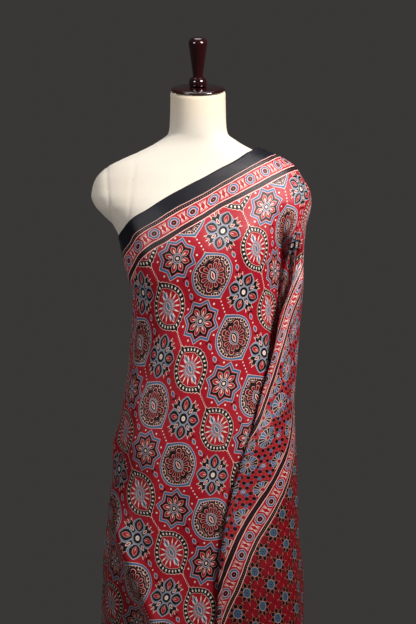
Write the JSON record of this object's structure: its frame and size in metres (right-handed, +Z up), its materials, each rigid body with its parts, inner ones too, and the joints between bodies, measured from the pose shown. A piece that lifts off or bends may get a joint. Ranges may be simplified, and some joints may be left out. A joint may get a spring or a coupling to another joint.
{
  "type": "ajrakh sari cloth on dress form",
  "caption": "Block-printed sari cloth draped over one shoulder of a linen dress form, with one long pleat down its side, on a pole and a round base.",
  "frame": {"origin": "centre of the round base's underside, on the floor", "axes": "+Z up along the pole, -Y towards the front of the dress form, +X towards the covered shoulder (the viewer's right)"},
  "size_m": [0.4564, 0.3736, 1.6126],
  "materials": {
    "ajrakh_cloth": "satin modal silk, block printed in madder red, indigo, black and undyed white",
    "form_linen": "plain cream linen cover",
    "dark_wood": "gloss dark stained turned wood",
    "stand_steel": "satin black paint"
  },
  "bodies": {
    "root": {"sari_cloth": "ajrakh_cloth", "form_body": "form_linen", "neck_cap": "dark_wood", "finial": "dark_wood", "stand_pole": "stand_steel", "stand_base": "stand_steel"}
  },
  "joints": []
}
